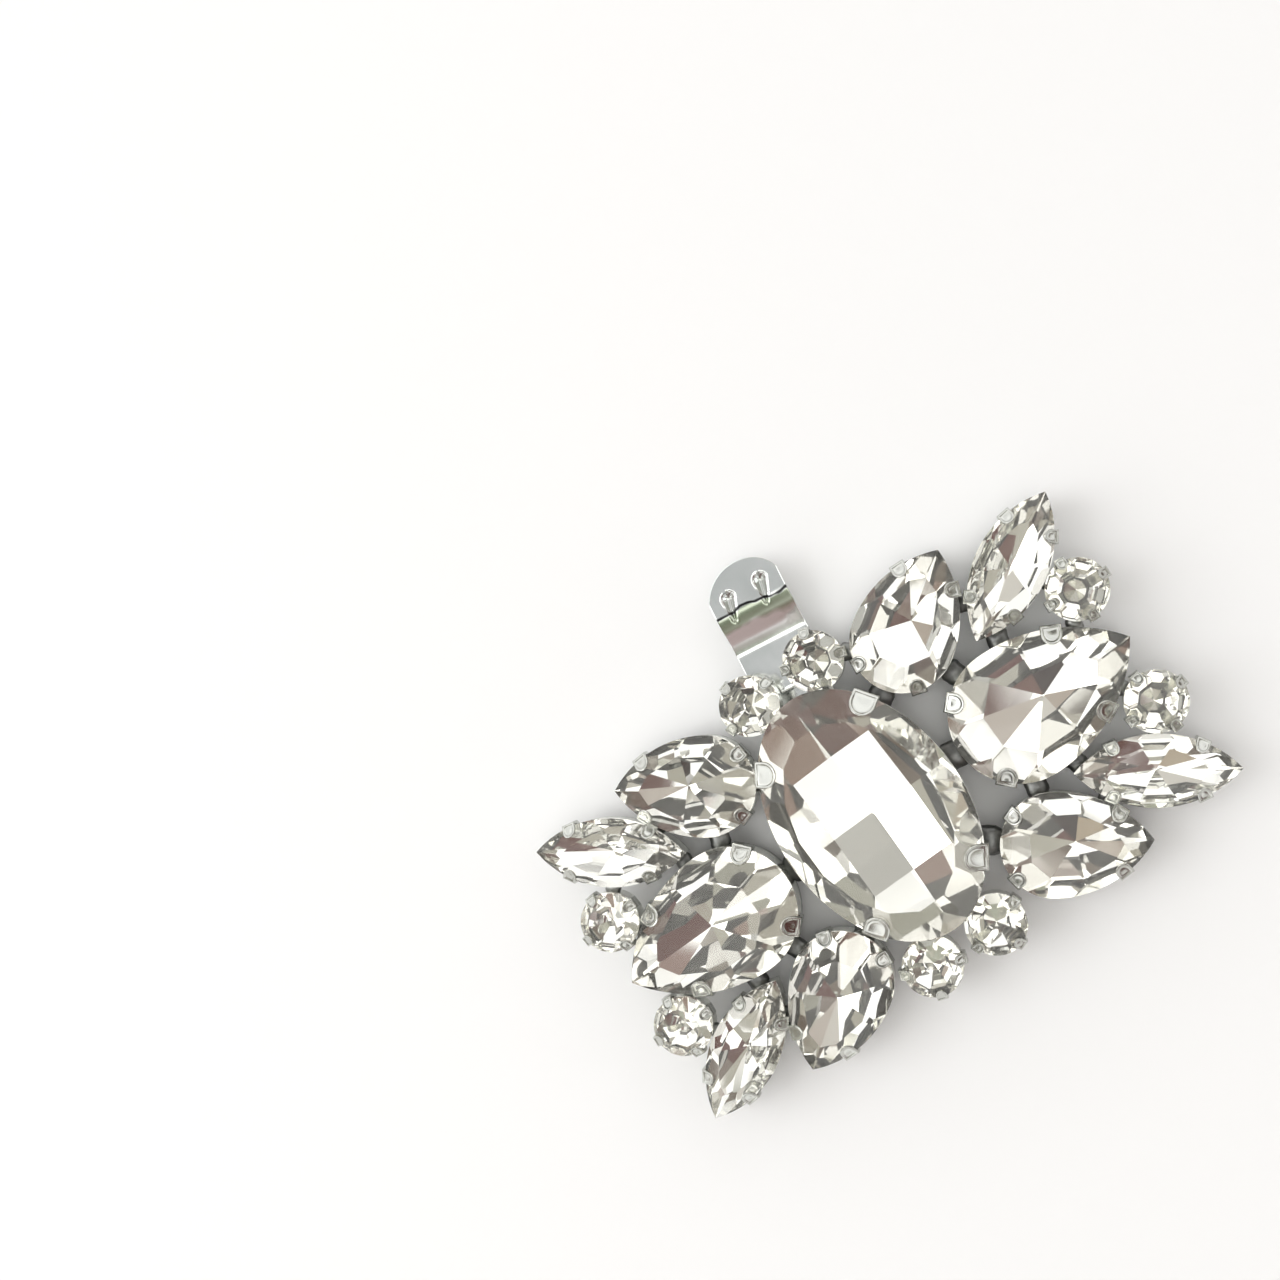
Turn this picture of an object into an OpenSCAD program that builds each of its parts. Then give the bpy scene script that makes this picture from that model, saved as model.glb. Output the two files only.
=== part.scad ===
// Jewelled shoe buckle: nineteen cut stones in soldered claw settings,
// on a small clip whose toothed lever is swung open behind it.
// Frame: X along the ornament, Y towards the open lever, Z up.
// The origin is on the underside of the clip plate, below the middle of the pattern.

/* [Centre stone] */
// Length of the oval centre stone, across the ornament
center_len = 27.8; // [26:0.1:29]
// Width of the centre stone
center_wid = 19; // [17.5:0.1:20.5]
// Height of its crown, from the girdle to the table
center_crown = 2; // [1.6:0.1:2.6]
// Depth of its pavilion, below the girdle
center_pav = 4.6; // [3.8:0.1:5.4]
// Room under its pavilion, which lifts it over the round stones at its ends
center_under = 1.2; // [0.9:0.1:2]
// How far its edge overhangs its cup
center_lip = 0.9; // [0.7:0.1:1.4]

/* [Pear stones] */
// Length of the two large pears
pear_len = 19.8; // [17.5:0.1:22]
// Width of the large pears
pear_wid = 13.7; // [12.5:0.1:14.2]
// Height of their crown
pear_crown = 2.1; // [1.6:0.1:2.8]
// Depth of their pavilion
pear_pav = 3.4; // [2.8:0.1:4.2]

/* [Drop stones] */
// Length of the four drops
drop_len = 14.8; // [12.5:0.1:16.5]
// Width of the drops
drop_wid = 10.5; // [9.5:0.1:10.7]
// Height of their crown
drop_crown = 1.7; // [1.3:0.1:2.3]
// Depth of their pavilion
drop_pav = 2.7; // [2.2:0.1:3.3]

/* [Navette stones] */
// Length of the four navettes
navette_len = 15.9; // [14:0.1:17.5]
// Width of the navettes
navette_wid = 7.2; // [6.4:0.1:7.4]
// Height of their crown
navette_crown = 1.4; // [1.1:0.1:1.9]
// Depth of their pavilion
navette_pav = 2.3; // [1.9:0.1:2.9]

/* [Round stones] */
// Diameter of the eight round stones
round_dia = 6.2; // [5.6:0.1:6.6]
// Height of their crown
round_crown = 1.2; // [0.9:0.1:1.6]
// Depth of their pavilion
round_pav = 2.3; // [1.9:0.1:2.8]

/* [Cut] */
// Height of the upright band round each stone
girdle = 0.4; // [0.3:0.05:0.6]
// Table size of the centre stone, as a share of the stone
center_table = 0.74; // [0.66:0.01:0.78]
// Table size of the other stones
table_share = 0.6; // [0.5:0.01:0.66]
// Flat left at the bottom of the pavilion, as a share of the stone
culet_share = 0.05; // [0.04:0.005:0.1]

/* [Places] */
// Space between the centre stone and a pear
pear_gap = 1.25; // [0.9:0.05:2]
// Where a drop seats on the centre stone, as an angle round the oval
drop_seat = 39.5; // [38:0.5:42]
// Space between the centre stone and a drop's round end
drop_gap = 1; // [0.8:0.05:1.4]
// Angle of a drop from the ornament's length
drop_turn = 33; // [31:0.5:36]
// Where a navette seats on the side of a drop, as an angle from the drop's length
navette_seat = 62.5; // [60:0.5:66]
// Space between a navette and its drop
navette_gap = 0.3; // [0.25:0.05:0.6]
// Angle of a navette from the ornament's length
navette_turn = 32; // [30:0.5:34]
// Space between an outer round stone and the pear and navette that it lies between
outer_round_gap = 0.2; // [0.12:0.01:0.3]
// Space between the two round stones at an end of the centre stone
end_round_gap = 1.3; // [0.9:0.1:1.6]
// How far these two dip behind the end of the centre stone
end_round_dip = 1.2; // [1:0.05:1.3]

/* [Settings] */
// Thickness of the cup walls
wall = 0.3; // [0.25:0.05:0.4]
// Thickness of the cup floors
floor_t = 0.4; // [0.3:0.05:0.6]
// Play between a stone and its cup or claw
clear = 0.06; // [0.04:0.01:0.1]
// How far a stone's edge overhangs its cup
lip = 0.1; // [0.05:0.05:0.3]
// Height of the pear cups' backs above the table
pear_lift = 1.3; // [0.9:0.1:2]
// Height of the drop cups' backs
drop_lift = 1.7; // [1.2:0.1:2.4]
// Height of the navette cups' backs
navette_lift = 2; // [1.4:0.1:2.8]
// Space between the open lever and the round stones' cups
lever_gap = 0.3; // [0.25:0.05:1]
// Thickness of a claw
claw_t = 0.3; // [0.25:0.05:0.4]
// Width of a claw on the centre stone
center_claw_w = 2.7; // [2.2:0.1:3]
// Width of a claw on the pears
pear_claw_w = 2.1; // [1.6:0.1:2.3]
// Width of a claw on the drops
drop_claw_w = 1.6; // [1.3:0.1:1.8]
// Width of a claw on the navettes
navette_claw_w = 1.4; // [1.1:0.1:1.5]
// Width of a claw on the round stones
round_claw_w = 1.1; // [0.8:0.1:1.2]

/* [Clip] */
// Turn of the clip, out of square with the ornament
clip_turn = 9; // [0:1:12]
// Sideways place of the hinge
clip_x = -1.8; // [-2.5:0.1:0.5]
// Place of the hinge along the short axis
hinge_y = 16.2; // [15.9:0.1:17]
// Thickness of the clip's sheet
sheet = 0.5; // [0.4:0.05:0.6]
// Width of the plate under the centre stone
plate_wid = 11; // [7.5:0.5:12]
// Sideways place of the plate's middle from the lever's
plate_side = 1.7; // [0:0.1:2]
// Length of the plate behind the middle of the ornament
plate_back = 9; // [7:0.5:11]
// Width of the lever
lever_wid = 8; // [7:0.1:9]
// Length of the lever from its hinge
lever_len = 13.3; // [12:0.1:14]
// Depth of the lever's rounded end
lever_tip = 2.6; // [1.5:0.1:3.4]
// Rise of the lever's gripping end above its root
lever_rise = 1.3; // [1:0.1:1.6]
// Reach of the lever's side flanges from the hinge
flange_len = 5; // [3.5:0.1:5.5]
// Radius of the hinge pin
pin_r = 0.4; // [0.35:0.01:0.5]
// Wall of the curl round the pin
curl_wall = 0.42; // [0.36:0.02:0.5]
// Play between the pin and its holes
pin_play = 0.03; // [0.02:0.01:0.06]
// Length of the lever's two teeth
tooth_len = 0.9; // [0.6:0.1:1]
// Distance between the teeth
tooth_gap = 3.8; // [3:0.1:4.5]
// Place of the teeth, back from the lever's rounded end
tooth_in = 2.9; // [2.4:0.1:3.2]
// Length of the groove that runs from each tooth's hollow towards the hinge
groove_len = 2.2; // [1.5:0.1:2.6]

/* [Hidden] */
// Columns of the cut table
SHAPE = 0;
LEN = 1;
WID = 2;
CROWN = 3;
PAV = 4;
LIFT = 5;
UNDER = 6;
LIP = 7;
CLAWS = 8;
CLAW_W = 9;
TABLE = 10;
CROWN_RINGS = 11;
PAV_RINGS = 12;

// The curl at the plate's end is just off the table, and the lever turns about its middle
curl_r = pin_r + pin_play + curl_wall;
curl_lift = 0.02;
axis_z = curl_r + curl_lift;
curl_gap = 0.2;
lever_root = curl_r + curl_gap;
side_gap = 0.2;
curl_wid = lever_wid - 2 * sheet - 2 * side_gap;
// Space between the plate's wide part and the flanges' ends when the lever is shut
neck_gap = 1;
// The round stones are turned so that their claws miss the stones beside them: an outer one
// by this much from half-way between its two neighbours
outer_round_twist = 2.4;
end_round_turn = 72;

// The centre cup is soldered a little way into the plate
solder_sink = 0.1;
// Space between a culet and the floor of its cup, and between a pavilion and the cup's rim
under_gap = 0.2;
seat_gap = 0.08;
// How far a claw runs down its cup
claw_foot = 1;
// The round stones' cups clear the lever, which lies under the two at the back
round_lift = axis_z + lever_root + sheet + lever_gap;

// Places of the claws round an outline, from its point at 0 to its other end at 180,
// on the left for plus and on the right for minus
four_claws = [45, 135, -45, -135];
drop_claws = [34, 140, -34, -140];
three_claws = [-90, 0, 90];
// How far a claw reaches over the crown, as a share of its width, and the step of its round end
claw_reach = 0.75;
claw_step = 30;

// Height of a lump of solder between two cups, and how far it runs into their walls
solder_h = 1.35;
solder_in = 0.6;

// The lever's sheet is flat next to the hinge, then rises in a band
band_start = 4.2;
band_len = 4.8;
flange_in = 0.18;
flange_end = 0.1;
// Cones of a pressed tooth: point, base and the hollow above
tooth_point_r = 0.15;
tooth_r = 0.65;
tooth_hollow_r = 1.6;
// End of a groove, and how far it leans to the side
groove_r = 0.4;
groove_deep = 0.2;
groove_lean = 0.35;
// How far out of square with the lever its end and its teeth were pressed
grip_skew = 4;
// Heads of the hinge pin
head_over = 0.2;
head_t = 0.3;
head_gap = 0.05;

// Rings of facets: their places round the outline, their steepness against a plain cone from the
// girdle to the stone's axis, and how far out they would meet the girdle's height, as a share
AT = 0;
STEEP = 1;
MEET = 2;
eighths = [0:45:180];
between_eighths = [22.5:45:180];
sixteenths = [0:22.5:180];
between_sixteenths = [11.25:22.5:180];
brilliant_crown = [[eighths, 1, 1], [between_eighths, 1.35, 1]];
brilliant_pav = [[eighths, 1, 1], [between_eighths, 1.2, 1]];
// The centre stone has four large facets round its culet, so that they make a star
quarters = [45:90:180];
star_crown = [[sixteenths, 1, 1], [between_sixteenths, 1.15, 1]];
star_pav = [[quarters, 0.735, 1.36], [between_eighths, 1.38, 1], [eighths, 1.9, 1]];

// One row for each cut: shape, length, width, crown, pavilion, lift, room under it, lip, claws,
// their width, table, and the crown's and the pavilion's facets
CUTS = [
    ["oval", center_len, center_wid, center_crown, center_pav, sheet - solder_sink,
        center_under, center_lip, four_claws, center_claw_w, center_table, star_crown, star_pav],
    ["pear", pear_len, pear_wid, pear_crown, pear_pav, pear_lift,
        under_gap, lip, four_claws, pear_claw_w, table_share, brilliant_crown, brilliant_pav],
    ["pear", drop_len, drop_wid, drop_crown, drop_pav, drop_lift,
        under_gap, lip, drop_claws, drop_claw_w, table_share, brilliant_crown, brilliant_pav],
    ["navette", navette_len, navette_wid, navette_crown, navette_pav, navette_lift,
        under_gap, lip, four_claws, navette_claw_w, table_share, brilliant_crown, brilliant_pav],
    ["oval", round_dia, round_dia, round_crown, round_pav, round_lift,
        under_gap, lip, four_claws, round_claw_w, table_share, brilliant_crown, brilliant_pav],
    ["oval", round_dia, round_dia, round_crown, round_pav, round_lift,
        under_gap, lip, three_claws, round_claw_w, table_share, brilliant_crown, brilliant_pav]
];
CENTER = 0;
PEAR = 1;
DROP = 2;
NAVETTE = 3;
OUTER_ROUND = 4;
END_ROUND = 5;

// One row for each stone: name, cut, side along X, side along Y, and how far out of
// true it was soldered along X, along Y and in its turn
NAME = 0;
CUT = 1;
SIDE_X = 2;
SIDE_Y = 3;
OFF_X = 4;
OFF_Y = 5;
OFF_TURN = 6;
STONES = [
    ["center_stone", CENTER, 1, 1, -0.1, 0.2, 1],
    ["pear_stone_right", PEAR, 1, 1, -0.2, 0, 0],
    ["pear_stone_left", PEAR, -1, 1, -0.2, 0, 0],
    ["drop_stone_back_right", DROP, 1, 1, -0.2, 0.3, 0],
    ["drop_stone_back_left", DROP, -1, 1, 0.1, -0.1, 1],
    ["drop_stone_front_right", DROP, 1, -1, 0.2, -0.3, 2],
    ["drop_stone_front_left", DROP, -1, -1, 0.1, 0, 3],
    ["navette_stone_back_right", NAVETTE, 1, 1, 0.2, -0.1, -2],
    ["navette_stone_back_left", NAVETTE, -1, 1, 0.1, 0, -3],
    ["navette_stone_front_right", NAVETTE, 1, -1, 0.1, 0.1, -1],
    ["navette_stone_front_left", NAVETTE, -1, -1, -0.1, 0, -1],
    ["outer_round_stone_back_right", OUTER_ROUND, 1, 1, 0.2, 0.1, 0],
    ["outer_round_stone_front_right", OUTER_ROUND, 1, -1, 0, 0, 0],
    ["outer_round_stone_back_left", OUTER_ROUND, -1, 1, -0.15, -0.1, 0],
    ["outer_round_stone_front_left", OUTER_ROUND, -1, -1, -0.05, -0.1, 0],
    ["end_round_stone_back_right", END_ROUND, 1, 1, 0.3, 0.2, 0],
    ["end_round_stone_back_left", END_ROUND, -1, 1, -0.1, 0.3, 0],
    ["end_round_stone_front_right", END_ROUND, 1, -1, -0.1, 0.1, 0],
    ["end_round_stone_front_left", END_ROUND, -1, -1, -0.2, 0.1, 0]
];

// Pairs of cups that are soldered to each other, by their rows in STONES
JOINTS = [
    [0, 1], [0, 2], [0, 3], [0, 4], [0, 5], [0, 6], [1, 3], [1, 5], [2, 4], [2, 6],
    [3, 7], [4, 8], [5, 9], [6, 10], [1, 7], [1, 9], [2, 8], [2, 10],
    [1, 11], [1, 12], [2, 13], [2, 14], [7, 11], [9, 12], [8, 13], [10, 14],
    [0, 15], [0, 16], [0, 17], [0, 18], [3, 15]
];

// Numbers of points: round an oval, round a circle, along a side arc and round a pear's back
oval_points = 32;
round_points = 16;
side_points = 7;
back_points = 10;
// Half the number of straight lines round the lever's end
tip_steps = 8;
// Facets next to the table are flatter than the main ones
star_flat = 0.55;
star_reach = 1.1;
// Facets start this far inside the girdle's edge
nick = 0.02;
// Size of the cutting blocks, well over that of any piece
far = 60;

GLASS = [0.88, 0.9, 0.9];
SILVER = [0.78, 0.78, 0.8];

// Outline of an ellipse grown by e
function oval_outline(l, w, e, n) = [
    for (i = [0:n - 1])
        let (t = 360 * i / n, a = l / 2, b = w / 2, g = norm([b * cos(t), a * sin(t)]))
        [a * cos(t) + e * b * cos(t) / g, b * sin(t) + e * a * sin(t) / g]
];

// Outline of two arcs that meet in points at both ends, grown by e
function navette_outline(l, w, e) =
    let (
        big = (l * l + w * w) / (4 * w),
        h = big - w / 2,
        a = acos(h / (big + e)),
        n = 2 * side_points,
        top = [
            for (i = [0:n - 1])
                let (t = a * (1 - 2 * i / n))
                [(big + e) * sin(t), (big + e) * cos(t) - h]
        ]
    )
    concat(top, -1 * top);

// Outline of a half circle whose sides run on in arcs to a point, grown by e
function pear_outline(l, w, e) =
    let (
        r = w / 2,
        x0 = r - l / 2,
        d = l - r,
        big = (d * d + r * r) / (2 * r),
        a = acos((big - r) / (big + e)),
        side = [
            for (i = [0:side_points - 1])
                let (t = a * (1 - i / side_points))
                [x0 + (big + e) * sin(t), r - big + (big + e) * cos(t)]
        ],
        back = [
            for (i = [0:back_points])
                let (t = 90 + 180 * i / back_points)
                [x0 + (r + e) * cos(t), (r + e) * sin(t)]
        ],
        other = [for (i = [side_points - 1:-1:1]) [side[i][0], -side[i][1]]]
    )
    concat(side, back, other);

function outline(cut, e) =
    cut[SHAPE] == "pear" ? pear_outline(cut[LEN], cut[WID], e)
    : cut[SHAPE] == "navette" ? navette_outline(cut[LEN], cut[WID], e)
    : oval_outline(cut[LEN], cut[WID], e, cut[LEN] > cut[WID] ? oval_points : round_points);

// Half the angle through which a pear's or a navette's side arc turns
function side_angle(cut) =
    let (
        r = cut[WID] / 2,
        d = cut[SHAPE] == "pear" ? cut[LEN] - r : cut[LEN] / 2
    )
    2 * atan(r / d);

// Direction that the outline faces at place p, from 0 at its point to 180 at its other end
function facing(cut, p) =
    cut[SHAPE] == "oval" ? atan2(sin(p) / cut[WID], cos(p) / cut[LEN])
    : let (a = 90 - side_angle(cut))
    cut[SHAPE] == "navette" ? a + (180 - 2 * a) * p / 180
    : p < 90 ? a + (90 - a) * p / 90 : p;

function reach(points, az) = max([for (p = points) p[0] * cos(az) + p[1] * sin(az)]);

// Radius of the side arcs of a pear or a navette
function side_r(cut) =
    let (
        r = cut[WID] / 2,
        d = cut[SHAPE] == "pear" ? cut[LEN] - r : cut[LEN] / 2
    )
    (d * d + r * r) / (2 * r);

// Middle of such an arc, on the left for side 1 and on the right for side -1
function side_middle(cut, side) =
    let (r = cut[WID] / 2)
    [cut[SHAPE] == "pear" ? r - cut[LEN] / 2 : 0, side * (r - side_r(cut))];

// Point of the outline that faces direction az
function edge_point(cut, az) =
    let (
        r = cut[WID] / 2,
        l = cut[LEN] / 2,
        dir = [cos(az), sin(az)]
    )
    cut[SHAPE] == "oval" ? [l * l * dir[0], r * r * dir[1]] / norm([l * dir[0], r * dir[1]])
    : cut[SHAPE] == "pear" && abs(az) > 90 ? [r - l, 0] + r * dir
    : side_middle(cut, sign(az)) + side_r(cut) * dir;

function turned(v, a) = [v[0] * cos(a) - v[1] * sin(a), v[0] * sin(a) + v[1] * cos(a)];

// Middle of a drop, seated on the centre stone by its round end
function drop_middle() =
    let (
        a = center_wid / 2,
        b = center_len / 2,
        n = [cos(drop_seat) / a, sin(drop_seat) / b]
    )
    [a * cos(drop_seat), b * sin(drop_seat)] + n / norm(n) * drop_gap
        + drop_len / 2 * [cos(drop_turn), sin(drop_turn)];

function pear_middle() = center_wid / 2 + pear_gap + pear_len / 2;

// Middle of a navette, whose side lies against that of its drop but for its gap
function navette_middle() =
    let (
        drop = CUTS[DROP],
        navette = CUTS[NAVETTE],
        out = drop_turn - navette_seat,
        d = side_r(drop) + navette_gap + side_r(navette)
    )
    drop_middle() + turned(side_middle(drop, -1), drop_turn) + d * [cos(out), sin(out)]
        - turned(side_middle(navette, 1), navette_turn);

// Middles of the two side arcs that an outer round stone lies against
function pear_arc() = [pear_middle(), 0] + side_middle(CUTS[PEAR], 1);

function navette_arc() =
    navette_middle() + turned(side_middle(CUTS[NAVETTE], -1), navette_turn);

function outer_round_middle() =
    let (
        a = pear_arc(),
        b = navette_arc(),
        room = outer_round_gap + round_dia / 2,
        ra = side_r(CUTS[PEAR]) + room,
        rb = side_r(CUTS[NAVETTE]) + room,
        d = norm(b - a),
        u = (b - a) / d,
        along = (ra * ra - rb * rb + d * d) / (2 * d)
    )
    a + along * u + sqrt(ra * ra - along * along) * [u[1], -u[0]];

function outer_round_turn() =
    let (
        p = outer_round_middle() - pear_arc(),
        n = navette_arc() - outer_round_middle()
    )
    (atan2(p[1], p[0]) + atan2(n[1], n[0]) - 90) / 2 - outer_round_twist;

function end_round_middle() =
    [(round_dia + end_round_gap) / 2, (center_len + round_dia) / 2 - end_round_dip];

function true_place(cut) =
    cut == CENTER ? [0, 0]
    : cut == PEAR ? [pear_middle(), 0]
    : cut == DROP ? drop_middle()
    : cut == NAVETTE ? navette_middle()
    : cut == OUTER_ROUND ? outer_round_middle()
    : end_round_middle();

// Each stone of the first quarter is repeated on the other sides, then set a little out of true
function place(s) =
    let (p = true_place(s[CUT]))
    [p[0] * s[SIDE_X] + s[OFF_X], p[1] * s[SIDE_Y] + s[OFF_Y]];

TURNS = [90, 0, drop_turn, navette_turn, outer_round_turn(), end_round_turn];
function turn(s) =
    atan2(s[SIDE_Y] * sin(TURNS[s[CUT]]), s[SIDE_X] * cos(TURNS[s[CUT]])) + s[OFF_TURN];

function girdle_z(cut) = cut[LIFT] + floor_t + cut[UNDER] + cut[PAV];

// Top of a cup's wall, which clears the steepest slope of the pavilion
function rim_z(cut) =
    let (steepest = max([for (r = cut[PAV_RINGS]) r[STEEP]]))
    girdle_z(cut) - (cut[LIP] + wall) * 2 * steepest * cut[PAV] / cut[WID] - seat_gap;

function moved(points, s) = [for (q = points) place(s) + turned(q, turn(s))];

// Cuts away all that lies above a plane through the girdle's edge, or below it for side -1
module facet_cut(z, slope, side) {
    translate([0, 0, z])
        rotate([0, side > 0 ? slope : 180 - slope, 0])
            translate([-far / 2, -far / 2, 0])
                cube([far, far, far / 4]);
}

module facet_ring(points, places, cut, share, z, rise, side) {
    for (p = places)
        for (half = [-1, 1]) {
            az = half * facing(cut, p);
            s = reach(points, az) * share - nick;
            slope = atan2(rise, reach(points, az));
            if (p < 180 || half > 0)
                rotate([0, 0, az])
                    translate([s, 0, 0])
                        facet_cut(z, slope, side);
        }
}

// A cut stone about its own middle, with its girdle's lower edge at height 0
module stone_body(cut) {
    points = outline(cut, 0);
    low = cut[PAV] * (1 - culet_share);
    top = girdle + cut[CROWN];
    rise = cut[CROWN] / (1 - cut[TABLE]);
    stars = cut[CROWN_RINGS][1][AT];
    difference() {
        translate([0, 0, -low])
            linear_extrude(height = low + top)
                polygon(points);
        for (r = cut[CROWN_RINGS])
            facet_ring(points, r[AT], cut, r[MEET], girdle, rise * r[STEEP], 1);
        facet_ring(points, stars, cut, cut[TABLE] * star_reach, top, rise * star_flat, 1);
        for (r = cut[PAV_RINGS])
            facet_ring(points, r[AT], cut, r[MEET], 0, cut[PAV] * r[STEEP], -1);
    }
}

module at_place(s) {
    p = place(s);
    translate([p[0], p[1], 0])
        rotate([0, 0, turn(s)])
            children();
}

module stone(s) {
    cut = CUTS[s[CUT]];
    color(GLASS)
        at_place(s)
            translate([0, 0, girdle_z(cut)])
                hull()
                    stone_body(cut);
}

module cup_wall(cut) {
    translate([0, 0, cut[LIFT]])
        linear_extrude(height = rim_z(cut) - cut[LIFT])
            polygon(outline(cut, -cut[LIP]));
}

// The room inside a cup
module cup_room(cut) {
    translate([0, 0, cut[LIFT] + floor_t])
        linear_extrude(height = far / 4)
            polygon(outline(cut, -cut[LIP] - wall));
}

// A claw from the cup's wall round the girdle and over the crown, drawn from the side, then
// from above with a round end. In both drawings x is 0 at the stone's edge and grows outwards.
module claw(cut, p) {
    az = (p < 0 ? -1 : 1) * facing(cut, abs(p));
    at = edge_point(cut, az);
    slope = atan2(cut[CROWN] / (1 - cut[TABLE]), at * [cos(az), sin(az)]);
    half = cut[CLAW_W] / 2;
    over = cut[CLAW_W] * claw_reach;
    root = -cut[LIP] - wall / 2;
    outside = clear + claw_t;
    shelf = rim_z(cut) - seat_gap;
    foot = shelf - claw_foot;
    base = girdle_z(cut) + girdle + 2 * clear / cos(slope);
    thick = claw_t / cos(slope);
    translate([at[0], at[1], 0])
        rotate([0, 0, az])
            intersection() {
                translate([0, far / 4, 0])
                    rotate([90, 0, 0])
                        linear_extrude(height = far / 2)
                            polygon([
                                [root, foot],
                                [-cut[LIP], foot],
                                [outside, foot + claw_foot / 2],
                                [outside, base - outside * tan(slope) + thick],
                                [-over, base + over * tan(slope) + thick],
                                [-over, base + over * tan(slope)],
                                [clear, base - clear * tan(slope)],
                                [clear, shelf],
                                [root, shelf]
                            ]);
                linear_extrude(height = far / 2)
                    polygon(concat(
                        [[2 * outside, -half], [2 * outside, half]],
                        [
                            for (t = [90:claw_step:270])
                                [half - over + half * cos(t), half * sin(t)]
                        ]
                    ));
            }
}

// Solder between two cups, where their outlines come closest
module solder(s1, s2) {
    c1 = CUTS[s1[CUT]];
    c2 = CUTS[s2[CUT]];
    a = moved(outline(c1, -c1[LIP]), s1);
    b = moved(outline(c2, -c2[LIP]), s2);
    near = min([for (p = a) for (q = b) norm(p - q)]);
    mid = [for (p = a) for (q = b) if (norm(p - q) < near + 0.0001) (p + q) / 2][0];
    low = max(c1[LIFT], c2[LIFT]) + floor_t;
    translate([mid[0], mid[1], low])
        cylinder(h = solder_h, r = near / 2 + solder_in, $fn = 12);
}

module clip_place() {
    translate([clip_x, 0, 0])
        rotate([0, 0, -clip_turn])
            children();
}

// Plate under the centre cup, narrower where the lever's flanges pass it, with a curled end
module clip_plate() {
    neck_y = hinge_y - flange_len - neck_gap;
    clip_place() {
        translate([plate_side, -plate_back + plate_wid / 2, 0])
            cylinder(h = sheet, r = plate_wid / 2, $fn = 64);
        translate([plate_side - plate_wid / 2, -plate_back + plate_wid / 2, 0])
            cube([plate_wid, neck_y + plate_back - plate_wid / 2, sheet]);
        translate([-curl_wid / 2, 0, 0])
            cube([curl_wid, hinge_y - curl_gap, sheet]);
        translate([-curl_wid / 2, hinge_y, axis_z])
            rotate([0, 90, 0])
                cylinder(h = curl_wid, r = curl_r, $fn = 48);
    }
}

module settings() {
    color(SILVER) {
        difference() {
            union() {
                for (s = STONES)
                    at_place(s)
                        cup_wall(CUTS[s[CUT]]);
                for (j = JOINTS)
                    solder(STONES[j[0]], STONES[j[1]]);
                clip_plate();
            }
            for (s = STONES)
                at_place(s)
                    cup_room(CUTS[s[CUT]]);
            clip_place()
                translate([-far / 2, hinge_y, axis_z])
                    rotate([0, 90, 0])
                        cylinder(h = far, r = pin_r + pin_play, $fn = 48);
        }
        for (s = STONES)
            at_place(s)
                for (p = CUTS[s[CUT]][CLAWS])
                    claw(CUTS[s[CUT]], p);
    }
}

// The pin runs through the curl and both flanges, with a small head at each end
module hinge_pin() {
    inner = lever_wid / 2 + head_gap;
    color(SILVER)
        clip_place()
            translate([0, hinge_y, axis_z])
                rotate([0, 90, 0]) {
                    translate([0, 0, -inner - head_t / 2])
                        cylinder(h = 2 * inner + head_t, r = pin_r, $fn = 48);
                    for (side = [-1, 1])
                        translate([0, 0, side * (inner + head_t / 2) - head_t / 2])
                            cylinder(h = head_t, r = pin_r + head_over, $fn = 48);
                }
}

// Height of the lever's lower face above the hinge, at y from the hinge
function lever_z(y) =
    let (t = min(1, max(0, (y - band_start) / band_len)))
    lever_root + lever_rise * (1 - cos(180 * t)) / 2;

lever_ys = concat(
    [-curl_r],
    [for (i = [0:10]) band_start + band_len * i / 10],
    [lever_len + 1]
);

// A point of the lever's grip
function skewed(x, y) = [x, y + x * tan(grip_skew)];

// A plate across the lever, drawn from the side as [y, z] points about the hinge
module side_plate(points, x, w) {
    translate([x, 0, 0])
        rotate([90, 0, 90])
            linear_extrude(height = w)
                polygon(points);
}

module lever_sheet() {
    tip_r = (lever_wid * lever_wid / 4 + lever_tip * lever_tip) / (2 * lever_tip);
    tip_angle = asin(lever_wid / 2 / tip_r);
    intersection() {
        side_plate(
            concat(
                [for (y = lever_ys) [y, lever_z(y)]],
                [for (i = [len(lever_ys) - 1:-1:0]) [lever_ys[i], lever_z(lever_ys[i]) + sheet]]
            ),
            -lever_wid, 2 * lever_wid
        );
        translate([0, 0, -far / 4])
            linear_extrude(height = far / 2)
                polygon(concat(
                    [[-lever_wid / 2, -curl_r - 1], [lever_wid / 2, -curl_r - 1]],
                    [
                        for (i = [-tip_steps:tip_steps])
                            let (t = tip_angle * i / tip_steps)
                            skewed(-tip_r * sin(t), lever_len - tip_r + tip_r * cos(t))
                    ]
                ));
    }
}

// A flange runs down from the sheet to the pin and tapers off along the lever
module lever_flange(side) {
    x = side > 0 ? lever_wid / 2 - sheet : -lever_wid / 2;
    inside = sheet / 2;
    flange_r = curl_r - flange_in;
    ys = [for (y = lever_ys) if (y > 0 && y < flange_len) y];
    top = concat(
        [[flange_len, lever_z(flange_len) + inside]],
        [for (i = [len(ys) - 1:-1:0]) [ys[i], lever_z(ys[i]) + inside]]
    );
    translate([x, 0, 0])
        rotate([0, 90, 0])
            cylinder(h = sheet, r = flange_r, $fn = 48);
    side_plate(
        concat(
            [[-flange_r, 0], [flange_r, 0], [flange_len, lever_z(flange_len) - flange_end]],
            top,
            [[-flange_r, lever_root + inside]]
        ),
        x, sheet
    );
}

module tooth() {
    translate([0, 0, -tooth_len])
        cylinder(h = tooth_len + sheet / 2, r1 = tooth_point_r, r2 = tooth_r, $fn = 32);
}

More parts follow.
